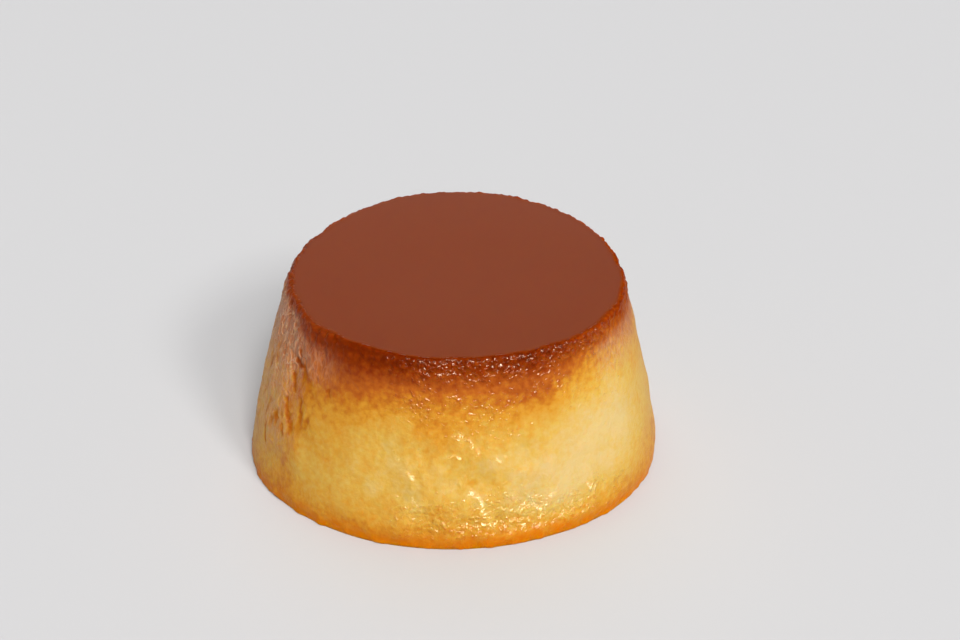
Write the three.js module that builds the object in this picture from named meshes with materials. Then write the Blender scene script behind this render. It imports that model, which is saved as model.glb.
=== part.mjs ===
// A single-serving caramel pudding, turned out of its mould to stand on its baked face.
//
// The mould was a plain cup, narrower at its bottom, so the pudding is a squat cone with a bowed
// side. Two layers run right through it and meet on a slanting, slightly wavy sheet: the custard
// below, and above it the layer that the caramel has soaked, which is deeper on the -X side.
// The skin is uneven as set custard is: the outline isn't a true circle, the rim is nibbled, the
// -X side is creased where it clung to the mould, and the front (-Y) has lumps and small pits.
//
// Millimetres, +Z up. The origin is the centre of the base, and -Y is the front.
// An azimuth is in degrees, from 0 at the front towards +X.

import * as THREE from "three";

// ---- Driving dimensions ----

const HEIGHT = 35.5; // base to caramel top
const BASE_RADIUS = 38; // where the line of the side meets the base
const TOP_RADIUS = 30.4; // where the line of the side meets the top
const BELLY = { bow: 0.7, power: 0.8 }; // bulge of the side; a power under 1 sets it below mid-height
const SHOULDER_RADIUS = 2.1; // rounding between top and side
const FOOT_RADIUS = 0.8; // rounding between side and base
const LEAN = 0.8; // how far the top sits off-centre, towards +X

const CARAMEL_DEPTH = 5.6; // mean depth of the caramel layer at the side
const CARAMEL_SLANT = 2.2; // extra depth on the -X side, and as much less on the +X side
const CARAMEL_WAVES = [
  { height: 0.3, lobes: 5, turn: 40 },
  { height: 0.2, lobes: 8, turn: 200 },
]; // waves in its lower edge
const LAYER_GAP = 0.3; // clearance between the two solids

const TOP_DISH = 0.45; // how far the middle of the top lies below its rim
const THREE_LOBES = { base: 0.95, top: 0.5 }; // flattened at the front, fuller on each side of it
const BASE_LOBED = { azimuth: 0, half: 75, fade: 30 }; // round the back the base is a true circle
const FIVE_LOBES = { height: 0.12, turn: 10 };

const LUMP = { height: 0.25, size: 10 }; // broad unevenness of the whole side
const CREASE = { height: 0.5, width: 4.4, length: 11, slope: 16 }; // upright creases, as they lean
const CREASED = { azimuth: -75, half: 24, fade: 22, from: 6, to: 13 }; // where they are
const CLUSTER = { height: 0.7, size: 4.6 }; // lumps and pits low on the front
const CLUSTERED = { azimuth: 6, half: 14, fade: 20, from: 16, to: 26, foot: 4 }; // where they are
const NIBBLE = { height: 0.5, size: 4.2, from: 5, to: 1 }; // scallops in the last 5 mm below the top

// ---- Mesh fineness ----

const SEGMENTS = 144; // round the pudding
const SHOULDER_STEPS = 5;
const CARAMEL_STEPS = 4; // rows down the side of the caramel layer
const CUSTARD_STEPS = 17; // rows down the side of the custard
const FOOT_STEPS = 3;
const TOP_RINGS = [0, 0.35, 0.65, 0.86]; // shares of the top's radius
const SHEET_RINGS = [0, 0.5, 0.8, 0.94]; // shares of the side's radius, where the layers meet
const BASE_RINGS = [0, 0.6]; // shares of the base's radius

// ---- Small helpers ----

const radians = THREE.MathUtils.degToRad;
const smooth = THREE.MathUtils.smoothstep;

// 1 within `half` degrees of the place's own azimuth, falling to 0 over `fade` degrees more.
function sector(azimuth, place) {
  const turn = azimuth - place.azimuth;
  const away = Math.abs(THREE.MathUtils.euclideanModulo(turn + 180, 360) - 180);
  return 1 - smooth(away, place.half, place.half + place.fade);
}

// A repeatable value from -1 to 1 at each whole-number lattice point.
function lattice(i, j, k) {
  const s = Math.sin(i * 127.1 + j * 311.7 + k * 74.7) * 43758.5453;
  return 2 * (s - Math.floor(s)) - 1;
}

// Smooth noise from -1 to 1: lattice values blended across each unit cell.
function noise(x, y, z) {
  const [i, j, k] = [Math.floor(x), Math.floor(y), Math.floor(z)];
  const [u, v, w] = [x - i, y - j, z - k].map((t) => t * t * (3 - 2 * t));
  const mix = THREE.MathUtils.lerp;
  const edge = (dj, dk) => mix(lattice(i, j + dj, k + dk), lattice(i + 1, j + dj, k + dk), u);
  return mix(mix(edge(0, 0), edge(1, 0), v), mix(edge(0, 1), edge(1, 1), v), w);
}

// ---- The pudding's form ----

const SIDE_TILT = Math.atan((BASE_RADIUS - TOP_RADIUS) / HEIGHT); // how far the side faces upwards

// Radius of the smooth side at a height.
function sideRadius(z) {
  const t = THREE.MathUtils.clamp(z / HEIGHT, 0, 1);
  const bow = BELLY.bow * Math.sin(Math.PI * Math.pow(t, BELLY.power));
  return BASE_RADIUS + (TOP_RADIUS - BASE_RADIUS) * t + bow;
}

// Height of the sheet where the layers meet, at an azimuth and a share of the side's radius.
function sheetHeight(azimuth, share) {
  const slant = CARAMEL_SLANT * share * Math.sin(radians(azimuth));
  const wave = CARAMEL_WAVES.reduce(
    (sum, { height, lobes, turn }) => sum + height * Math.sin(radians(lobes * azimuth + turn)),
    0,
  );
  return HEIGHT - CARAMEL_DEPTH + slant + wave * share ** 4;
}

// How far the side stands proud of a true circle, at an azimuth and a height.
function sideRelief(azimuth, z) {
  const a = radians(azimuth);
  const [x, y] = [BASE_RADIUS * Math.sin(a), -BASE_RADIUS * Math.cos(a)];
  const arc = BASE_RADIUS * a; // way round the pudding

  const baseLobes = THREE_LOBES.base * sector(azimuth, BASE_LOBED);
  let out = -THREE.MathUtils.lerp(baseLobes, THREE_LOBES.top, z / HEIGHT) * Math.cos(3 * a);
  out += FIVE_LOBES.height * Math.cos(5 * (a + radians(FIVE_LOBES.turn)));
  out += LUMP.height * noise(x / LUMP.size, y / LUMP.size, z / LUMP.size);

  const creased = sector(azimuth, CREASED) * smooth(z, CREASED.from, CREASED.to);
  const crease = noise(arc / CREASE.width + z / CREASE.slope, 7.5, z / CREASE.length);
  out += CREASE.height * creased * crease;

  const low = smooth(z, 0, CLUSTERED.foot) * (1 - smooth(z, CLUSTERED.from, CLUSTERED.to));
  const clustered = sector(azimuth, CLUSTERED) * low;
  const cluster = noise(x / CLUSTER.size, y / CLUSTER.size + 9, z / CLUSTER.size);
  out += CLUSTER.height * clustered * cluster;

  const rim = smooth(z, HEIGHT - NIBBLE.from, HEIGHT - NIBBLE.to);
  out += NIBBLE.height * rim * noise(x / NIBBLE.size, y / NIBBLE.size, 3.5);
  return out;
}

// Moves a point of the plain turned form, given by azimuth, radius and height, to its true place.
// `nominalSheet` is the height at which the plain form has the sheet between the layers.
function place(azimuth, radius, height, nominalSheet, sheetShift) {
  const share = radius / sideRadius(height);
  const sheet = sheetHeight(azimuth, share) + sheetShift;
  const above = (height - nominalSheet) / (HEIGHT - nominalSheet);
  const z = above >= 0 ? sheet + above * (HEIGHT - sheet) : (height * sheet) / nominalSheet;

  const r = share * sideRadius(z) + share ** 6 * sideRelief(azimuth, z);
  const a = radians(azimuth);
  const onTop = smooth(height, HEIGHT - SHOULDER_RADIUS, HEIGHT);
  const dish = TOP_DISH * onTop * (1 - smooth(share, 0, 1));
  return new THREE.Vector3(r * Math.sin(a) + (LEAN * z) / HEIGHT, -r * Math.cos(a), z - dish);
}

// Points of the rounding between a flat face and the side, from the flat face outwards.
// `inwards` is the way from the face into the pudding: 1 is up and -1 is down.
function rounding(faceHeight, radius, inwards, steps) {
  const centreHeight = faceHeight + inwards * radius;
  const endHeight = centreHeight + radius * Math.sin(SIDE_TILT);
  const centreRadius = sideRadius(endHeight) - radius * Math.cos(SIDE_TILT);
  return Array.from({ length: steps + 1 }, (_, i) => {
    const normal = THREE.MathUtils.lerp((-inwards * Math.PI) / 2, SIDE_TILT, i / steps);
    return new THREE.Vector2(
      centreRadius + radius * Math.cos(normal),
      centreHeight + radius * Math.sin(normal),
    );
  });
}

// Points along the side between two heights, without the first.
function sidePoints(from, to, steps) {
  return Array.from({ length: steps }, (_, i) => {
    const z = THREE.MathUtils.lerp(from, to, (i + 1) / steps);
    return new THREE.Vector2(sideRadius(z), z);
  });
}

// Points across a flat face, from the axis outwards, short of its edge.
function facePoints(shares, edgeRadius, z) {
  return shares.map((share) => new THREE.Vector2(share * edgeRadius, z));
}

// Turns a profile about the axis and moves every vertex to its true place.
function layer(name, profile, sheetShift, material) {
  const geometry = new THREE.LatheGeometry(profile, SEGMENTS);
  const position = geometry.getAttribute("position");
  for (let n = 0; n < position.count; n++) {
    const ring = Math.floor(n / profile.length) % SEGMENTS; // the last column repeats the first
    const turn = (360 * ring) / SEGMENTS;
    const { x: radius, y: height } = profile[n % profile.length];
    const p = place(turn > 180 ? turn - 360 : turn, radius, height, SHEET, sheetShift);
    position.setXYZ(n, p.x, p.y, p.z);
  }
  geometry.computeVertexNormals();
  const mesh = new THREE.Mesh(geometry, material);
  mesh.name = name;
  return mesh;
}

// ---- The two layers ----

const SHEET = HEIGHT - CARAMEL_DEPTH; // the sheet's height in the plain turned form
const shoulder = rounding(HEIGHT, SHOULDER_RADIUS, -1, SHOULDER_STEPS);
const foot = rounding(0, FOOT_RADIUS, 1, FOOT_STEPS);
const sheetFace = facePoints(SHEET_RINGS, sideRadius(SHEET), SHEET);

function custard() {
  const profile = [
    ...facePoints(BASE_RINGS, foot[0].x, 0),
    ...foot,
    ...sidePoints(foot.at(-1).y, SHEET, CUSTARD_STEPS),
    ...[...sheetFace].reverse(),
  ];
  const material = new THREE.MeshStandardMaterial({ color: 0xe8b457, roughness: 0.38 });
  return layer("custard", profile, -LAYER_GAP, material);
}

function caramelLayer() {
  const profile = [
    ...sheetFace,
    ...sidePoints(shoulder.at(-1).y, SHEET, CARAMEL_STEPS).reverse(),
    ...[...shoulder].reverse(),
    ...facePoints(TOP_RINGS, shoulder[0].x, HEIGHT).reverse(),
  ];
  const material = new THREE.MeshStandardMaterial({ color: 0x84401f, roughness: 0.34 });
  return layer("caramel_layer", profile, 0, material);
}

const pudding = new THREE.Group();
pudding.add(custard(), caramelLayer());

export default pudding;
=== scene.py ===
# A single-serving caramel pudding, turned out of its cup mould: a squat cone of set egg custard whose
# top and rim have soaked up dark caramel. Sizes are in millimetres, as a pastry cook would measure
# them, and meshes are scaled to Blender's metres as they are made.

import math

import bpy
import numpy as np
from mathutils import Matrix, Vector, noise


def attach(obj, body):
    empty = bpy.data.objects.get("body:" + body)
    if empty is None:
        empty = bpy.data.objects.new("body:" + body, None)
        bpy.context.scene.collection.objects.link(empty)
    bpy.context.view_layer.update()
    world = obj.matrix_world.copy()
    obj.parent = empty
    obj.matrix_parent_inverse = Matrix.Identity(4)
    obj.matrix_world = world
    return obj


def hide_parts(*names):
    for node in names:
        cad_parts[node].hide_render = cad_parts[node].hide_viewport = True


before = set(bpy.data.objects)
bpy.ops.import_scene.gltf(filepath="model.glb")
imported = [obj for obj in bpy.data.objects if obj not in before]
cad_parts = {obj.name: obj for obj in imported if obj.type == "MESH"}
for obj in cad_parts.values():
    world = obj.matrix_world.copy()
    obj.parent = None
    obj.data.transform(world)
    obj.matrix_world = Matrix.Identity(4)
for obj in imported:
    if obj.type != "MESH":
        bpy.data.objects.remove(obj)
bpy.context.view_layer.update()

# ---- Custard ----
# Egg, milk and sugar baked in a water bath until set, then chilled and turned out upside down. It
# took its form from the cup, clung to it on the -X side, and its foot browned in the oven.

MM = 0.001
HEIGHT = 35.5
BASE_RADIUS = 38
TOP_RADIUS = 30.4
BOW, BOW_POWER = 0.7, 0.8  # how far the side bows out; a power under 1 sets the bow below the middle
SHOULDER_RADIUS = 1.2
FOOT_RADIUS = 0.4
LEAN = 0.8  # how far the top sits off-centre, towards +X
TOP_DISH = 0.15  # how far the middle of the top has sunk
SHEET = HEIGHT - 5.6  # mean height of the sheet where the custard meets the caramel layer
SHEET_SLANT = 2.2
SHEET_WAVES = [(0.3, 5, 40), (0.2, 8, 200)]  # height, waves round the side, turn in degrees
THREE_LOBES_AT_BASE, THREE_LOBES_AT_TOP = 0.95, 0.5
FIVE_LOBES, FIVE_LOBES_TURN = 0.12, 10
LUMP, LUMP_SIZE = 0.25, 10
CREASE, CREASE_WIDTH, CREASE_LENGTH, CREASE_SLOPE = 0.5, 4.4, 11, 16
CLUSTER, CLUSTER_SIZE = 0.7, 4.6  # the lumps that crowd together in the front
NIBBLE, NIBBLE_SIZE = 0.5, 4.2  # the uneven rim
NIBBLED_BELOW, FULLY_NIBBLED_BELOW = 5, 1  # how far below the top it comes in, and is all there
CREASE_START, CLUSTER_START, NIBBLE_START = 7.5, 9, 3.5  # where in the noise each is taken from
FRONT_TUCK = 0.45  # how far the foot draws in at the front
BACK_PRESS = 0.3  # how far the rim is pressed in at the back right
SHEET_SETTLES, FORM_SETTLES = 4, 6  # powers of the radius by which waves and lobes die out inwards


def smooth(x, low, high):
    """0 below `low`, 1 above `high`, and an S-curve between."""
    t = np.clip((x - low) / (high - low), 0, 1)
    return t * t * (3 - 2 * t)


def mix(a, b, share):
    """`a` where the share is 0, `b` where it is 1, and a blend between."""
    return a + (b - a) * share


def sector(azimuth, centre, half, fade):
    """1 within `half` degrees of `centre`, falling to 0 over `fade` degrees more.

    An azimuth is in degrees, from 0 at the front (-Y) towards +X.
    """
    away = np.abs((azimuth - centre + 180) % 360 - 180)
    return 1 - smooth(away, half, half + fade)


def patch(azimuth, height, centre, half, fade, starts=None, stops=None):
    """A sector of the side that also fades out below and above.

    On the way up it comes in between the two heights of `starts`, and goes out between the two of
    `stops`.
    """
    share = sector(azimuth, centre, half, fade)
    if starts:
        share = share * smooth(height, *starts)
    if stops:
        share = share * (1 - smooth(height, *stops))
    return share


def lattice(i, j, k):
    """A repeatable value from -1 to 1 at each whole-number lattice point."""
    scrambled = np.sin(i * 127.1 + j * 311.7 + k * 74.7) * 43758.5453  # factors that leave no pattern
    return 2 * (scrambled - np.floor(scrambled)) - 1


def lumpy(x, y, z):
    """Smooth noise from -1 to 1: lattice values blended across each unit cell."""
    x, y, z = np.broadcast_arrays(x, y, z)
    i, j, k = np.floor(x), np.floor(y), np.floor(z)
    u, v, w = smooth(x - i, 0, 1), smooth(y - j, 0, 1), smooth(z - k, 0, 1)

    def edge(dj, dk):
        return mix(lattice(i, j + dj, k + dk), lattice(i + 1, j + dj, k + dk), u)

    return mix(mix(edge(0, 0), edge(1, 0), v), mix(edge(0, 1), edge(1, 1), v), w)


def side_radius(z):
    """Radius of the smooth side at a height."""
    t = np.clip(z / HEIGHT, 0, 1)
    return mix(BASE_RADIUS, TOP_RADIUS, t) + BOW * np.sin(np.pi * t**BOW_POWER)


def sheet_height(azimuth, share):
    """Height of the sheet between the layers, at a share of the side's radius."""
    wave = sum(rise * np.sin(np.radians(waves * azimuth + turn)) for rise, waves, turn in SHEET_WAVES)
    return SHEET + SHEET_SLANT * share * np.sin(np.radians(azimuth)) + wave * share**SHEET_SETTLES


def side_form(azimuth, z):
    """How far the side stands proud of a true circle, in its broad shapes."""
    a = np.radians(azimuth)
    x, y = BASE_RADIUS * np.sin(a), -BASE_RADIUS * np.cos(a)
    at_base = THREE_LOBES_AT_BASE * sector(azimuth, centre=0, half=75, fade=30)
    three_lobes = mix(at_base, THREE_LOBES_AT_TOP, z / HEIGHT)
    out = FIVE_LOBES * np.cos(5 * (a + math.radians(FIVE_LOBES_TURN))) - three_lobes * np.cos(3 * a)
    out += LUMP * lumpy(x / LUMP_SIZE, y / LUMP_SIZE, z / LUMP_SIZE)

    creased = patch(azimuth, z, centre=-75, half=24, fade=22, starts=(6, 13))
    along = BASE_RADIUS * a / CREASE_WIDTH + z / CREASE_SLOPE
    out += CREASE * creased * lumpy(along, CREASE_START, z / CREASE_LENGTH)

    clustered = patch(azimuth, z, centre=6, half=14, fade=20, starts=(0, 4), stops=(16, 26))
    crowd = lumpy(x / CLUSTER_SIZE, y / CLUSTER_SIZE + CLUSTER_START, z / CLUSTER_SIZE)
    out += CLUSTER * clustered * crowd

    out -= FRONT_TUCK * patch(azimuth, z, centre=12, half=55, fade=30, stops=(0, 3))
    out -= BACK_PRESS * patch(azimuth, z, centre=118, half=25, fade=25, starts=(25, 33))
    nibbled = smooth(z, HEIGHT - NIBBLED_BELOW, HEIGHT - FULLY_NIBBLED_BELOW)
    return out + NIBBLE * nibbled * lumpy(x / NIBBLE_SIZE, y / NIBBLE_SIZE, NIBBLE_START)


def place(azimuth, radius, height):
    """Moves points of the plain turned form to their true places."""
    share = radius / side_radius(height)
    sheet = sheet_height(azimuth, share)
    above = (height - SHEET) / (HEIGHT - SHEET)
    z = np.where(above >= 0, sheet + above * (HEIGHT - sheet), height * sheet / SHEET)
    r = share * side_radius(z) + share**FORM_SETTLES * side_form(azimuth, z)
    a = np.radians(azimuth)
    dish = TOP_DISH * smooth(height, HEIGHT - SHOULDER_RADIUS, HEIGHT) * (1 - smooth(share, 0, 1))
    return np.stack([r * np.sin(a) + LEAN * z / HEIGHT, -r * np.cos(a), z - dish], -1)


def rounding(face_height, radius, inwards, steps):
    """The rounding between a flat face and the side, from the face outwards, as (radius, height)."""
    tilt = math.atan((BASE_RADIUS - TOP_RADIUS) / HEIGHT)
    centre_height = face_height + inwards * radius
    centre_radius = side_radius(centre_height + radius * math.sin(tilt)) - radius * math.cos(tilt)
    facings = np.linspace(-inwards * math.pi / 2, tilt, steps + 1)
    return [(centre_radius + radius * math.cos(f), centre_height + radius * math.sin(f)) for f in facings]


# One skin of rings runs from the middle of the base, round the foot, up the side, over the shoulder
# and in to the middle of the top. Both layers take their outside from it, so they meet with no step.
COLUMNS = 720
BASE_RINGS, FOOT_RINGS, SIDE_RINGS, RIM_RINGS, SHOULDER_RINGS, TOP_RINGS = 5, 5, 118, 20, 8, 36
FRONT_FINER = 0.5  # columns stand this much closer together at the front, and further at the back
TOP_CROWDING = 1.5  # a power over 1 crowds the top's rings towards its edge

foot = rounding(0, FOOT_RADIUS, 1, FOOT_RINGS)
shoulder = rounding(HEIGHT, SHOULDER_RADIUS, -1, SHOULDER_RINGS)[::-1]
base_face = [(foot[0][0] * i / BASE_RINGS, 0) for i in range(BASE_RINGS)]
custard_side = [(side_radius(z), z) for z in np.linspace(foot[-1][1], SHEET, SIDE_RINGS + 1)[1:]]
caramel_side = [(side_radius(z), z) for z in np.linspace(SHEET, shoulder[0][1], RIM_RINGS + 1)[1:-1]]
top_shares = [1 - (i / TOP_RINGS) ** TOP_CROWDING for i in range(1, TOP_RINGS + 1)]
top_face = [(shoulder[-1][0] * share, HEIGHT) for share in top_shares]
profile = np.array(base_face + foot + custard_side + caramel_side + shoulder + top_face)
SEAM = len(base_face) + len(foot) + len(custard_side) - 1  # the ring that the two layers share

turns = -180 + 360 * np.arange(COLUMNS) / COLUMNS
turns -= np.degrees(FRONT_FINER * np.sin(np.radians(turns)))
azimuth = np.broadcast_to(turns, (len(profile), COLUMNS))
skin = place(azimuth, profile[:, :1], profile[:, 1:])
height = skin[..., 2]
arc = BASE_RADIUS * np.radians(azimuth)


def facing(rings):
    """Unit normals of rings of points whose first and last are single points."""
    across = np.roll(rings, -1, 1) - np.roll(rings, 1, 1)
    normal = np.cross(across, np.gradient(rings, axis=0))
    normal[0], normal[-1] = (0, 0, -1), (0, 0, 1)
    return normal / np.linalg.norm(normal, axis=-1, keepdims=True)


normals = facing(skin)
on_side = smooth(np.linalg.norm(normals[..., :2], axis=-1), 0.35, 0.8)
on_top = smooth(normals[..., 2], 0.93, 0.99)


def along_skin(size, tallness, lean, start):
    """The skin's points in units of a feature `size` wide and `tallness` times as tall.

    `lean` is how far features step sideways for each millimetre up, and `start` picks another part
    of the noise that is read at these points.
    """
    turn = lean * height / BASE_RADIUS
    x = skin[..., 0] * np.cos(turn) - skin[..., 1] * np.sin(turn)
    y = skin[..., 0] * np.sin(turn) + skin[..., 1] * np.cos(turn)
    return (np.stack([x, y, height / tallness], -1) / size + start).reshape(-1, 3).tolist()


def grain(swing, size, tallness=1, lean=0, start=0):
    """Soft noise over the skin, from about -`swing` to `swing`."""
    values = [noise.noise(p) for p in along_skin(size, tallness, lean, start)]
    return swing * (2 * np.array(values).reshape(height.shape))


def pebbles(rise, size, level, tallness=1, start=0):
    """Rounded grains over the skin, `rise` high, that are sunk in it by the share `level` of that."""
    values = [noise.voronoi(p)[0][0] for p in along_skin(size, tallness, 0, start)]
    return rise * (1 - np.array(values).reshape(height.shape).clip(0, 1) - level)


ragged = grain(swing=0.5, size=1.0, start=71)  # how unevenly the edges of pits and wrinkles run


def fold(*points, width):
    """1 along a line through (azimuth, height) points, falling raggedly to 0 over about `width`."""
    near = np.full(height.shape, np.inf)
    places = [(BASE_RADIUS * math.radians(turn), z) for turn, z in points]
    for (x0, z0), (x1, z1) in zip(places, places[1:]):
        dx, dz = x1 - x0, z1 - z0
        share = ((arc - x0) * dx + (height - z0) * dz) / (dx * dx + dz * dz)
        share = share.clip(0, 1)
        near = np.minimum(near, np.hypot(arc - x0 - share * dx, height - z0 - share * dz))
    return on_side * (1 - smooth(near * (1 + ragged), 0, width))


# All over the side: the fine curd of baked egg, on a faint swell.
relief = on_side * (grain(swing=0.03, size=0.9) + grain(swing=0.1, size=5, start=27))

# The -X side: upright fibres, drawn out where the custard clung to the mould, a net of them under the
# rim beside it, and between them hollows and pits where the skin tore away.
CLUNG_RISE = 0.1
TEAR_DEPTH = 0.17
PIT_DEPTH = 0.15
PITS = [  # from one end to the other as azimuth and height, then the width
    ((-73, 34.2), (-70, 32.6), 1.0),
    ((-45, 35.2), (-43, 34.6), 0.8),
    ((-57.5, 29.4), (-56.5, 28.6), 0.65),
    ((-58.5, 27.6), (-56, 27.1), (-54, 27.2), 0.7),
    ((-58.7, 24.6), (-57.5, 23.6), (-56.0, 22.2), 0.85),
    ((-58.5, 19.8), (-57.6, 18.5), (-55.5, 17.0), 0.75),
    ((-52.0, 21.5), (-51.9, 20.0), (-51.0, 18.5), 0.7),
    ((-62.5, 15.6), (-61.5, 14.2), 0.8),
    ((-58.0, 15.0), (-57.0, 13.4), 0.65),
    ((-68.0, 12.0), (-67.5, 10.0), (-66.5, 8.5), 0.7),
    ((-41.7, 25.7), (-41.3, 25.0), 0.6),
    ((11.6, 30.7), (12.0, 30.5), 0.45),
]
clung = on_side * patch(azimuth, height, centre=-96, half=28, fade=22, starts=(5, 14))
grooves = np.abs(grain(swing=0.22, size=1.3, tallness=4, lean=0.12))
ridges = grain(swing=0.14, size=2.4, tallness=2.5, start=45)
relief += clung * (CLUNG_RISE - grooves + ridges)
netted = on_side * patch(azimuth, height, centre=-58, half=10, fade=12, starts=(24, 28))
relief += netted * grain(swing=0.12, size=1.1, tallness=2, lean=-0.35, start=48)
torn = on_side * patch(azimuth, height, centre=-62, half=12, fade=8, starts=(11, 14), stops=(26, 30))
torn = torn * smooth(grain(swing=1, size=1.5, tallness=3, lean=-0.15, start=61), 0, 1.1)
relief -= TEAR_DEPTH * torn
pits = sum(fold(*ends, width=width) for *ends, width in PITS).clip(0, 1)
relief -= PIT_DEPTH * pits

# The rim: small scallops and grains, coarser than below.
RIM_BELOW, RIM_FULLY_BELOW = 5.5, 2.2  # how far below the top it comes in, and is all there
rim = smooth(height, HEIGHT - RIM_BELOW, HEIGHT - RIM_FULLY_BELOW) * (1 - on_top)
relief += rim * (grain(swing=0.12, size=0.8, start=9) + pebbles(rise=0.26, size=1.5, level=0.5, start=3))

# The front: soft lumps in shallow hollows, low terraces above the foot at the front right, and wet
# wrinkles where the skin has slipped.
HOLLOW_DEPTH = 0.16
ARCH_DEPTH = 0.12
WRINKLE_RISE = 0.13
WRINKLES = [  # the points that each passes through as azimuth and height, then its width
    ((-0.5, 21.9), (1.5, 21.9), (4.8, 21.1), (5.4, 19.8), 0.5),
    ((6.6, 19.3), (7.4, 18.9), (6.8, 18.4), (7.4, 18.0), 0.4),
    ((-1.4, 18.0), (0.2, 18.5), (1.8, 17.8), 0.5),
    ((12.5, 17.6), (13.6, 16.8), 0.6),
    ((5.0, 11.4), (7.2, 10.6), (8.3, 8.9), (8.0, 7.6), 0.7),
    ((-17.5, 18.2), (-16.2, 17.0), 0.6),
    ((-13.0, 15.0), (-11.6, 13.8), 0.8),
    ((-11.4, 10.2), (-10.2, 8.2), 0.5),
    ((-6.6, 7.4), (-5.6, 6.8), (-3.0, 5.6), (-1.8, 5.2), 0.6),
    ((3.0, 4.9), (6.0, 4.6), (8.2, 4.9), (12.0, 4.9), 0.5),
    ((14.0, 7.6), (16.6, 7.0), (19.6, 6.8), (21.6, 7.2), 0.5),
    ((23.2, 7.6), (24.8, 6.4), (26.0, 6.8), (27.4, 6.8), 0.6),
    ((24.9, 6.6), (25.1, 4.4), 0.5),
    ((28.2, 8.6), (29.4, 8.8), 0.7),
    ((14.0, 4.2), (17.0, 4.8), (20.0, 4.9), 0.5),
    ((40.0, 8.4), (42.0, 6.6), 0.6),
]
lumps = on_side * patch(azimuth, height, centre=4, half=14, fade=16, starts=(2, 5), stops=(20, 25))
relief += lumps * pebbles(rise=0.22, size=2.8, level=0.55, tallness=1.6, start=21)
relief += lumps * grain(swing=0.12, size=1.6, tallness=1.5, start=5)
hollows = on_side * patch(azimuth, height, centre=8, half=34, fade=26, stops=(10, 26))
hollows = hollows * smooth(grain(swing=1, size=3.0, tallness=1.2, start=51), -0.8, 0.8)
relief -= HOLLOW_DEPTH * hollows
arch = fold((2.6, 11.6), (3.8, 12.6), (6.2, 12.6), width=1.5)
relief -= ARCH_DEPTH * arch
terraces = on_side * patch(azimuth, height, centre=23, half=13, fade=20, starts=(1.5, 4), stops=(6, 11))
relief += terraces * grain(swing=0.07, size=2.2, tallness=0.5, start=13)
relief += terraces * grain(swing=0.05, size=0.9, start=2)
wrinkles = sum(fold(*points, width=width) for *points, width in WRINKLES).clip(0, 1)
relief += WRINKLE_RISE * wrinkles

# The foot is uneven, and the top nearly flat with a faint swell, which is finer near its edge.
relief += (1 - smooth(height, 0.6, 3)) * on_side * grain(swing=0.12, size=1.9, start=31)
relief += on_top * grain(swing=0.006, size=9, start=7)
relief += on_top * smooth(profile[:, :1], 27, 30) * grain(swing=0.015, size=1.8, start=37)

skin = skin + relief[..., None] * normals
skin[..., 2] = skin[..., 2].clip(0)  # the foot stands on the floor, and doesn't sink into it
skin[: BASE_RINGS + 1, :, 2] = 0
normals = facing(skin)

# How far the caramel's stain has thinned out, in steps from 0 at its darkest. It thins out down the
# side, and comes back as the gold of the foot and in every hollow, where syrup has gathered.
MOST_STEPS = 4  # steps from the darkest stain to plain custard
STAIN = [  # azimuth, steps at the rim, millimetres down for each step, palest step, reach of the foot
    (-180, 0.1, 6.5, 2.3, 4.0),
    (-110, 0.3, 8.0, 1.9, 5.0),
    (-80, 0.3, 9.0, 1.6, 5.0),
    (-62, 0.2, 9.6, 1.6, 5.0),
    (-54, 0.15, 10.2, 1.5, 5.0),
    (-48, 0.1, 8.8, 1.95, 5.0),
    (-38, -0.1, 7.6, 2.15, 6.5),
    (-20, -0.15, 5.8, 2.6, 8.5),
    (0, 0.1, 6.6, 2.6, 8.5),
    (12, 0.1, 6.9, 2.8, 8.0),
    (22, 0.0, 7.0, 3.3, 7.0),
    (32, 0.05, 6.3, 3.5, 7.0),
    (42, 0.25, 5.6, 3.3, 8.5),
    (54, 0.35, 5.3, 3.1, 10.0),
    (62, 0.3, 5.5, 2.6, 11.0),
    (70, 0.2, 5.8, 2.0, 11.0),
    (90, 0.2, 6.0, 1.7, 7.0),
    (120, 0.3, 5.5, 2.2, 4.0),
    (180, 0.1, 6.5, 2.3, 4.0),
]
LEVELS_OFF = 4  # a higher power holds the fall of the stain straighter until it reaches its palest
PIT_STAIN, HOLLOW_STAIN, ARCH_STAIN, TONGUE_STAIN = 0.25, 0.28, 0.4, 0.25  # steps darker in each
FOOT_STAIN = 1.35
TORN_STAIN, TORN_SHARE = 1.05, 0.85  # no paler than this under torn skin, and how fully that holds
turn_to, at_rim, drop, palest, foot_reach = zip(*STAIN)
stain = np.interp(azimuth, turn_to, at_rim) + (HEIGHT - height) / np.interp(azimuth, turn_to, drop)
stain = stain * (1 + grain(swing=0.05, size=3.6, start=17)) + grain(swing=0.08, size=1.3, start=19)
stain = stain.clip(0)
limit = np.interp(azimuth, turn_to, palest) * (1 + grain(swing=0.08, size=4, start=15))
stain = stain / (1 + (stain / limit) ** LEVELS_OFF) ** (1 / LEVELS_OFF)
stain -= PIT_STAIN * pits + HOLLOW_STAIN * hollows + ARCH_STAIN * arch
stain -= TONGUE_STAIN * patch(azimuth, height, centre=-2, half=6, fade=8, starts=(15, 19), stops=(23, 27))
golden = np.exp(-((height / np.interp(azimuth, turn_to, foot_reach)) ** 2))
stain = mix(stain, FOOT_STAIN, golden)
stain = mix(stain, np.minimum(stain, TORN_STAIN), TORN_SHARE * (torn + pits).clip(0, 1))

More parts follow.
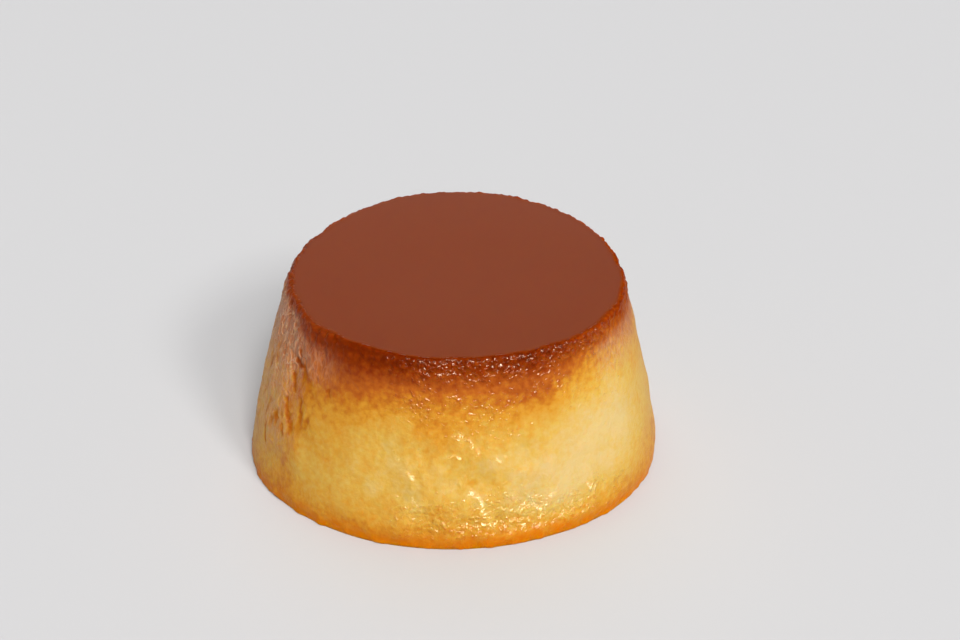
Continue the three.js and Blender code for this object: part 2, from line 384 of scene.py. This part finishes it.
# Beads of syrup stand on the front: close under the rim and just above the foot, and sparse between.
RIM_BEADS, LUMP_BEADS, FOOT_BEADS = 0.45, 0.3, 1.0
UPPER_BEADS = [(32, 34, 0.4), (18, 25, 0.62)]  # between two heights, they come this much closer
beads = RIM_BEADS * rim + LUMP_BEADS * lumps
beads += sum(closer * smooth(height, low, high) for low, high, closer in UPPER_BEADS)
beads += FOOT_BEADS * patch(azimuth, height, centre=18, half=26, fade=24, stops=(6, 13))
beads *= 1 + grain(swing=0.5, size=4, start=33)
beaded = on_side * sector(azimuth, centre=20, half=26, fade=32) * smooth(height, 1, 3)

# The torn skin is frayed, most of all just below the rim, and again in a small patch on the +X side.
# This mask also paints the frayed parts paler: partly the fibres' own colour, partly a painted sheen.
NET_FRAY = 0.3  # how frayed the net is, next to the fibres
TEAR_LOSS = 0.7  # how much of the fibres is gone where the skin tore away
LOW_FRAY = 0.8  # how frayed the fibres are near the foot
RIGHT_FRAY_AND_SHEEN = 0.5
frayed_and_sheen = (clung + NET_FRAY * netted - TEAR_LOSS * torn - pits).clip(0, 1)
frayed_and_sheen *= mix(LOW_FRAY, 1, smooth(height, 18, 27))
frayed_and_sheen *= 1 - smooth(height, 33, 35)
frayed_and_sheen *= mix(1 - smooth(height, 30, 33.5), 1, sector(azimuth, centre=-92, half=22, fade=14))
right_fray_and_sheen = patch(azimuth, height, centre=63, half=7, fade=10, starts=(24, 28), stops=(30.5, 33))
frayed_and_sheen += RIGHT_FRAY_AND_SHEEN * right_fray_and_sheen

# Hollows, the shoulder and the foot are sheltered from the light that the rest of the skin mirrors,
# but the shoulder and the rim less so on the -X side.
RIM_SHELTER, FOOT_SHELTER = 0.8, 0.5
LEFT_SHOULDER, LEFT_RIM = 0.6, 0.4  # how much less they are sheltered there
SIDE_SHINE, CLUNG_SHINE, TOP_SHINE = 0.14, 0.14, 0.1
SHOULDER_SATIN = 0.7  # how far the -X shoulder takes after the flat top
shoulder_edge = smooth(normals[..., 2], 0.55, 0.8) * (1 - smooth(normals[..., 2], 0.99, 0.999))
left = sector(azimuth, centre=-80, half=32, fade=16)
sheltered = torn + pits + shoulder_edge * (1 - LEFT_SHOULDER * left)
sheltered += RIM_SHELTER * rim * (1 - LEFT_RIM * left)
sheltered += FOOT_SHELTER * (1 - smooth(height, 1, 5)) * on_side
shine = SIDE_SHINE + CLUNG_SHINE * clung * smooth(height, 20, 30) + TOP_SHINE * on_top

# What the materials read at each point of the skin, from 0 to 1: the stain, the oven's brown on the
# foot, syrup that lies as a film, syrup that stands in beads, torn fibres and their painted sheen, the flat
# top, the shine, and how much light travels inside, which stops short of the line where the two layers
# meet.
BROWN_FADES = (0.2, 4)  # the heights that the foot's brown fades between
SEAM_FADES = (0.3, 3)  # how far from the seam light begins to travel inside, and travels fully
FACES_FROM_SEAM = 9  # the flat faces count as this much further from it
to_seam = np.abs(height - sheet_height(azimuth, 1)) + FACES_FROM_SEAM * (1 - on_side)
film = terraces * smooth(grain(swing=1, size=1.1, tallness=0.6, start=81), 0.1, 0.8) + wrinkles
fields = {
    "stain": (stain / MOST_STEPS).clip(0, 1),
    "browned": 1 - smooth(height + grain(swing=0.6, size=2.2, start=23), *BROWN_FADES),
    "wet": on_side * film.clip(0, 1),
    "beaded": beaded * beads.clip(0, 1),
    "frayed_and_sheen": frayed_and_sheen.clip(0, 1),
    "flat_top": on_top + SHOULDER_SATIN * shoulder_edge * left,
    "shine": shine * (1 - sheltered.clip(0, 1)),
    "inside": smooth(to_seam, *SEAM_FADES),
}


def linear(hex_colour):
    """An sRGB hex colour as linear red, green, blue and an alpha of 1."""
    channels = [int(hex_colour[i : i + 2], 16) / 255 for i in (0, 2, 4)]
    return [c / 12.92 if c <= 0.04045 else ((c + 0.055) / 1.055) ** 2.4 for c in channels] + [1]


def add_node(material, kind, inputs=None, **settings):
    """Adds a shader node.

    An input is a value, an output socket that is linked to it, or a node, whose first output is.
    """
    node = material.node_tree.nodes.new("ShaderNode" + kind)
    for name, value in settings.items():
        setattr(node, name, value)
    for name, value in (inputs or {}).items():
        if isinstance(value, bpy.types.Node):
            value = value.outputs[0]
        if isinstance(value, bpy.types.NodeSocket):
            material.node_tree.links.new(value, node.inputs[name])
        else:
            node.inputs[name].default_value = value
    return node


STAIN_COLOURS = [  # steps from the darkest stain, and the colour there
    (0.0, "6A1F02"),
    (0.35, "802E04"),
    (0.7, "94440C"),
    (1.0, "A65614"),
    (1.3, "B8741A"),
    (1.6, "C68D28"),
    (2.1, "CAA248"),
    (2.8, "CCB072"),
    (4.0, "CEB57A"),
]
TOP_BROWN = "78300B"
FOOT_ORANGE = "C66E00"
FRAYED_TAN_AND_SHEEN = "D09E78"  # torn fibres look paler as they scatter more light; the rest of this pale tan is a painted sheen
SYRUP_TINT = "FFE8D0"
MOTTLE, MOTTLE_SHARE = 1.1, 0.055  # size of the blotches, and their share of all the stain's steps
NOISE_LOW, NOISE_HIGH = 0.3, 0.7  # nearly all of a noise texture's values lie between these
STRAND = 0.8  # width of the gaps between torn fibres
STRAND_FLATNESS = 0.25  # the gaps are four times as tall as they are wide
STRAND_EDGE = 0.15  # how wide a fibre is, as a share of the gap
STRAND_WANDER = 1.6  # how far the fibres wander, and over what length
# shares of that pale tan on the threads, where it is mostly a painted highlight, and between them
STRAND_TAN_AND_HIGHLIGHT, BETWEEN_STRANDS_TAN_AND_SHEEN = 0.65, 0.3
BEAD = 0.65  # pitch of the beads of syrup
FEW_BEADS, MANY_BEADS = 0.86, 0.42  # only the noise above this stands as beads
BEAD_EDGE = 0.05  # a bead is syrup right through once it is this far above its edge
CURD = 0.6  # the real grain is about a third of this, too fine to show
LEDGE, LEDGE_SLOPE = 0.45, 0.55  # pitch and slope of the ledges down which the film of syrup steps
WAVE = 0.314  # the pitch of a wave texture whose scale is 1
CURD_RISE, STRAND_RISE, BEAD_RISE, FILM_RISE = 0.16, 0.24, 0.55, 0.08
HOLDS_FROM, HOLDS_FULLY = 0.3, 0.52  # how far upwards the skin faces where syrup begins to stay on it
TOP_GLOSS = 0.85
MOIST_ROUGHNESS, SYRUP_ROUGHNESS = 0.42, 0.24
SYRUP_SHINE = 0.8


def custard_skin(name, scatter):
    """Custard, stained by as much caramel as it has soaked up: moist, grainy and translucent.

    `scatter` is how far red light travels in it, in millimetres.
    """
    material = bpy.data.materials.new(name)
    material.use_nodes = True
    material.node_tree.nodes.clear()
    read = {f: add_node(material, "Attribute", attribute_name=f).outputs["Fac"] for f in fields}
    position = add_node(material, "TexCoord").outputs["Object"]

    # The stain, mottled as it is in any baked custard.
    blotches = add_node(material, "TexNoise", {"Vector": position, "Scale": 1 / (MOTTLE * MM), "Detail": 3})
    mottle = add_node(
        material,
        "MapRange",
        {
            "Value": blotches,
            "From Min": NOISE_LOW,
            "From Max": NOISE_HIGH,
            "To Min": -MOTTLE_SHARE,
            "To Max": MOTTLE_SHARE,
        },
    )
    mottled = add_node(material, "Math", {0: read["stain"], 1: mottle}, operation="ADD")
    stained = add_node(material, "ValToRGB", {"Fac": mottled})
    ramp = stained.color_ramp
    for step, colour in STAIN_COLOURS[1:-1]:
        ramp.elements.new(step / MOST_STEPS).color = linear(colour)
    ramp.elements[0].color = linear(STAIN_COLOURS[0][1])
    ramp.elements[-1].color = linear(STAIN_COLOURS[-1][1])

    # Torn fibres: a net of thin threads, drawn out upwards and wandering a little.
    drawn_out = {0: position, 1: (1, 1, STRAND_FLATNESS)}
    upright = add_node(material, "VectorMath", drawn_out, operation="MULTIPLY")
    drift = add_node(material, "TexNoise", {"Vector": upright, "Scale": 1 / (STRAND_WANDER * MM)})
    wander = {0: drift.outputs["Color"], 1: [STRAND_WANDER * MM] * 3, 2: upright}
    wandering = add_node(material, "VectorMath", wander, operation="MULTIPLY_ADD")
    spacing = {"Vector": wandering, "Scale": 1 / (STRAND * MM)}
    threads = add_node(material, "TexVoronoi", spacing, feature="DISTANCE_TO_EDGE")
    on_thread = {"Value": threads, "From Max": STRAND_EDGE, "To Min": 1, "To Max": 0}
    strand = add_node(material, "MapRange", on_thread)
    strands = add_node(material, "Math", {0: strand, 1: read["frayed_and_sheen"]}, operation="MULTIPLY")

    # The colour: the browned foot, the frayed fibres in a pale tan that is partly a painted sheen, with
    # painted highlights along their threads, and the flat top lie over the stain in turn.
    threads_tan_and_highlight = add_node(material, "Math", {0: strands, 1: STRAND_TAN_AND_HIGHLIGHT}, operation="MULTIPLY")
    gaps_tan_and_sheen = add_node(material, "Math", {0: read["frayed_and_sheen"], 1: BETWEEN_STRANDS_TAN_AND_SHEEN}, operation="MULTIPLY")
    tan = add_node(material, "Math", {0: threads_tan_and_highlight, 1: gaps_tan_and_sheen}, operation="ADD")
    colour = stained
    overlays = [(read["browned"], FOOT_ORANGE), (tan, FRAYED_TAN_AND_SHEEN), (read["flat_top"], TOP_BROWN)]
    for share, overlay in overlays:
        under_and_over = {"Factor": share, 6: colour, 7: linear(overlay)}
        colour = add_node(material, "Mix", under_and_over, data_type="RGBA").outputs[2]

    # Beads of syrup: low grains, larger and closer where it is wetter.
    speckle = {"Vector": position, "Scale": 1 / (BEAD * MM), "Detail": 0.5, "Distortion": 0.4}
    speckles = add_node(material, "TexNoise", speckle)
    wanting = {"Value": read["beaded"], "To Min": FEW_BEADS, "To Max": MANY_BEADS}
    dryness = add_node(material, "MapRange", wanting)
    over = add_node(material, "Math", {0: speckles, 1: dryness}, operation="SUBTRACT")
    bead = add_node(material, "Math", {0: over, 1: 0}, operation="MAXIMUM")
    beading = add_node(material, "MapRange", {"Value": bead, "From Max": BEAD_EDGE})
    wetness = add_node(material, "Math", {0: beading, 1: read["wet"]}, operation="MAXIMUM")

    # The height of all that: curd, which the caramel has closed on the flat top, then fibres, beads
    # and a film of syrup that runs down in ledges.
    curd = add_node(material, "TexNoise", {"Vector": position, "Scale": 1 / (CURD * MM)})
    closed = add_node(material, "Math", {0: read["flat_top"], 1: CURD_RISE}, operation="MULTIPLY")
    curd_rise = add_node(material, "Math", {0: CURD_RISE, 1: closed}, operation="SUBTRACT")
    risen = add_node(material, "Math", {0: curd, 1: curd_rise}, operation="MULTIPLY")
    for layer_over, rise in ((strands, STRAND_RISE), (bead, BEAD_RISE), (read["wet"], FILM_RISE)):
        added = add_node(material, "Math", {0: layer_over, 1: rise}, operation="MULTIPLY")
        risen = add_node(material, "Math", {0: risen, 1: added}, operation="ADD")
    ledge = add_node(
        material,
        "TexWave",
        {"Vector": position, "Scale": WAVE / (LEDGE * MM), "Distortion": 4, "Detail": 1, "Detail Scale": 1},
        bands_direction="Z",
        wave_profile="SAW",
    )
    on_film = {0: ledge.outputs["Fac"], 1: read["wet"]}
    film_ledge = add_node(material, "Math", on_film, operation="MULTIPLY")
    fall = add_node(material, "Math", {0: film_ledge, 1: LEDGE * LEDGE_SLOPE}, operation="MULTIPLY")
    risen = add_node(material, "Math", {0: risen, 1: fall}, operation="SUBTRACT")
    bump = add_node(material, "Bump", {"Height": risen, "Strength": 1, "Distance": MM})

    # Syrup stays on what faces upwards.
    upwards = add_node(material, "SeparateXYZ", {"Vector": bump}).outputs["Z"]
    facing_up = {"Value": upwards, "From Min": HOLDS_FROM, "From Max": HOLDS_FULLY}
    holding = add_node(material, "MapRange", facing_up)
    wetness = add_node(material, "Math", {0: wetness, 1: holding}, operation="MULTIPLY")

    # The flat top is satin, and the syrup is glossier than the moist custard under it.
    satin = add_node(material, "Math", {0: read["flat_top"], 1: TOP_GLOSS}, operation="MULTIPLY")
    gloss = add_node(material, "Math", {0: wetness, 1: satin}, operation="MAXIMUM")
    from_moist = {"Value": gloss, "To Min": MOIST_ROUGHNESS, "To Max": SYRUP_ROUGHNESS}
    roughness = add_node(material, "MapRange", from_moist)
    syrup_shine = add_node(material, "Math", {0: wetness, 1: SYRUP_SHINE}, operation="MULTIPLY")
    shine = add_node(material, "Math", {0: read["shine"], 1: syrup_shine}, operation="ADD")
    surface = add_node(
        material,
        "BsdfPrincipled",
        {
            "Base Color": colour,
            "Roughness": roughness,
            "IOR": 1.5,
            "Specular IOR Level": shine,
            "Specular Tint": linear(SYRUP_TINT),
            "Normal": bump,
            "Subsurface Weight": read["inside"],
            "Subsurface Radius": (1, 0.5, 0.25),
            "Subsurface Scale": scatter * MM,
        },
    )
    add_node(material, "OutputMaterial", {"Surface": surface})
    return material


SHEET_RINGS = 4


def corners(table):
    """A table's rows of values at the corners of every face, in the order of the faces."""
    four = np.stack([table[:-1, :-1], table[:-1, 1:], table[1:, 1:], table[1:, :-1]], 2)
    parts = four[0, :, 1:], four[1:-1], four[-1, :, :3]  # a face at a single point has three corners
    return np.concatenate([part.reshape(-1, table.shape[2]) for part in parts])


def layer(name, rings, sheet_faces_up, material):
    """A closed mesh from rings of the skin and the sheet that shuts them, faces pointing out."""
    shares = np.linspace(1, 0, SHEET_RINGS + 1)[1:]
    sheet = [place(azimuth[SEAM], share * profile[SEAM, 0], SHEET) for share in shares]
    sheet_rings = [SEAM] * SHEET_RINGS  # the sheet reads the fields of the ring that it hangs from
    if sheet_faces_up:
        order = [*rings, *sheet_rings]
        points = np.concatenate([skin[rings], sheet])
    else:
        order = [*sheet_rings, *rings]
        points = np.concatenate([sheet[::-1], skin[rings]])
    last = len(order) - 1

    # The first and last rings are single points, so their faces have three corners.
    index = 1 + (np.arange(last + 1)[:, None] - 1) * COLUMNS + np.arange(COLUMNS + 1) % COLUMNS
    index[0], index[last] = 0, 1 + (last - 1) * COLUMNS
    flat = corners(index[..., None])[:, 0]
    ends = 3 * COLUMNS
    faces = [flat[:ends].reshape(-1, 3), flat[ends:-ends].reshape(-1, 4), flat[-ends:].reshape(-1, 3)]
    mesh = bpy.data.meshes.new(name)
    vertices = np.concatenate([points[0, :1], *points[1:-1], points[-1, :1]]) * MM
    mesh.from_pydata(vertices.tolist(), [], [face for part in faces for face in part.tolist()])
    mesh.materials.append(material)
    for field, values in fields.items():
        values = values[order]
        attribute = mesh.attributes.new(field, "FLOAT", "POINT")
        values = np.concatenate([values[0, :1], values[1:-1].ravel(), values[-1, :1]])
        attribute.data.foreach_set("value", values.astype(np.float32))

    # The map unrolls the piece: once round it across, and from its first ring to its last upwards.
    across, up = np.meshgrid(np.linspace(0, 1, COLUMNS + 1), np.linspace(0, 1, last + 1))
    across[[0, -1]] -= 0.5 / COLUMNS
    unrolled = mesh.uv_layers.new(name="OFBake")
    unrolled.uv.foreach_set("vector", corners(np.stack([across, up], -1)).astype(np.float32).ravel())

    # Corners take the whole skin's normals, so that no line shows between the layers.
    mesh.polygons.foreach_set("use_smooth", np.ones(len(mesh.polygons), bool))
    own = normals[order]
    own = corners(np.concatenate([own, own[:, :1]], 1))
    rings_before_sheet = order.index(SEAM) - 1 if sheet_faces_up else SHEET_RINGS - 1
    seam_corner = ends + 4 * COLUMNS * rings_before_sheet
    if sheet_faces_up:
        own[seam_corner:] = 0, 0, 1
    else:
        own[:seam_corner] = 0, 0, -1
    mesh.normals_split_custom_set(own.tolist())
    piece = bpy.data.objects.new(name, mesh)
    bpy.context.scene.collection.objects.link(piece)
    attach(piece, "root")
    return piece


# Set custard: pale yellow and moist, with a soft sheen and light glowing in its thin edges.
set_custard = custard_skin("set_egg_custard", scatter=2.6)
custard = layer("custard_skin", list(range(SEAM + 1)), True, set_custard)
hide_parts("custard")

# ---- Caramel layer ----
# The custard that lay at the bottom of the mould, on a pool of dark caramel. The caramel has soaked
# into it to a depth of a few millimetres, most of all on the -X side.

# Caramel-soaked custard: dark red-brown and satin, because the sugar has closed its surface.
soaked_custard = custard_skin("caramel_soaked_custard", scatter=1.6)
caramel = layer("caramel_skin", list(range(SEAM, len(profile))), False, soaked_custard)
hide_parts("caramel_layer")

# ---- Floor ----
# A sheet of pale grey uncoated card that lies flat under the pudding. It is made so wide that no edge
# of it shows.

FLOOR_SIDE = 4  # metres
FLOOR_DROP = 0.02  # it lies just clear of the underside
CARD_GREY = "C3C2C2"
CARD_TOOTH, CARD_TOOTH_DEPTH = 0.5, 0.04  # coarser than real card's tooth, which is too fine to show

# Uncoated card: pressed paper pulp, rough and faintly toothed, with no gloss.
card = bpy.data.materials.new("uncoated_card")
card.use_nodes = True
card.node_tree.nodes.clear()
card_place = add_node(card, "TexCoord").outputs["Object"]
tooth = add_node(card, "TexNoise", {"Vector": card_place, "Scale": 1 / (CARD_TOOTH * MM), "Detail": 2})
toothed = {"Height": tooth, "Strength": 0.3, "Distance": CARD_TOOTH_DEPTH * MM}
tooth_bump = add_node(card, "Bump", toothed)
card_surface = add_node(
    card,
    "BsdfPrincipled",
    {
        "Base Color": linear(CARD_GREY),
        "Roughness": 0.8,
        "Specular IOR Level": 0.2,
        "Normal": tooth_bump,
    },
)
add_node(card, "OutputMaterial", {"Surface": card_surface})

half = FLOOR_SIDE / 2
floor_corners = [(-half, -half, 0), (half, -half, 0), (half, half, 0), (-half, half, 0)]
floor_mesh = bpy.data.meshes.new("floor")
floor_mesh.from_pydata(floor_corners, [], [(0, 1, 2, 3)])
floor_mesh.materials.append(card)
floor = bpy.data.objects.new("floor", floor_mesh)
floor.location.z = -FLOOR_DROP * MM
bpy.context.scene.collection.objects.link(floor)

# ---- Lights ----
# A softbox at the front right throws the soft shadow to the back left, and a larger one above the
# camera fills the front. A wide weak one behind lights the top from the back, a faint card low behind
# it shows in the top's satin, and so does the wall of the room.

LIGHTS_AWAY = 12  # metres: far enough to light the whole floor evenly


def softbox(name, azimuth, elevation, spread, brightness):
    """A square light that faces the pudding, its azimuth from the front towards +X.

    `spread` is its width in degrees, and `brightness` how bright it makes a white floor by itself.
    """
    light = bpy.data.lights.new(name, "AREA")
    light.size = 2 * LIGHTS_AWAY * math.tan(math.radians(spread / 2))
    turn, rise = math.radians(azimuth), math.radians(elevation)
    light.energy = brightness * (math.pi * LIGHTS_AWAY) ** 2 / math.sin(rise)
    level = math.cos(rise)
    direction = Vector((level * math.sin(turn), -level * math.cos(turn), math.sin(rise)))
    lamp = bpy.data.objects.new(name, light)
    lamp.location = direction * LIGHTS_AWAY
    lamp.rotation_euler = direction.to_track_quat("Z", "Y").to_euler()
    bpy.context.scene.collection.objects.link(lamp)


softbox("key_softbox", azimuth=36, elevation=39, spread=12, brightness=0.28)
softbox("front_softbox", azimuth=13, elevation=49, spread=17, brightness=0.75)
softbox("back_softbox", azimuth=187, elevation=62, spread=40, brightness=0.18)
softbox("back_card", azimuth=180, elevation=23.5, spread=14, brightness=0.0035)

WALL_GREY = "9A9CA0"
CEILING_GREY = "5A5C60"
WALL_TOP, WALL_BLUR = 30, 1.5  # degrees of elevation where the wall gives way to the darker ceiling

# Matt grey paint: it gives the satin top and the syrup something plain to mirror.
room = bpy.data.worlds.new("room")
room.use_nodes = True
room.node_tree.nodes.clear()
outwards = add_node(room, "SeparateXYZ", {"Vector": add_node(room, "TexCoord").outputs["Generated"]})
wall_ends = {
    "Value": outwards.outputs["Z"],
    "From Min": math.sin(math.radians(WALL_TOP - WALL_BLUR)),
    "From Max": math.sin(math.radians(WALL_TOP + WALL_BLUR)),
}
ceiling_share = add_node(room, "MapRange", wall_ends)
greys = {"Factor": ceiling_share, 6: linear(WALL_GREY), 7: linear(CEILING_GREY)}
walls = add_node(room, "Mix", greys, data_type="RGBA")
glow = add_node(room, "Background", {"Color": walls.outputs[2]})
add_node(room, "OutputWorld", {"Surface": glow})
bpy.context.scene.world = room

# ---- Camera ----
# A portrait lens a forearm's length away, which looks down on the front of the pudding from about a
# third of the way between level and overhead.

CAMERA_TARGET = Vector((4.97, 0, 25.0))
CAMERA_DISTANCE = 417.8
CAMERA_ELEVATION = math.radians(31.7)

camera = bpy.data.objects.new("camera", bpy.data.cameras.new("camera"))
camera.data.lens = 85
camera.data.sensor_width = 36
camera.data.clip_start = 0.01
towards_camera = Vector((0, -math.cos(CAMERA_ELEVATION), math.sin(CAMERA_ELEVATION)))
camera.location = (CAMERA_TARGET + CAMERA_DISTANCE * towards_camera) * MM
camera.rotation_euler = towards_camera.to_track_quat("Z", "Y").to_euler()
bpy.context.scene.collection.objects.link(camera)
bpy.context.scene.camera = camera
bpy.context.scene.view_settings.view_transform = "Standard"
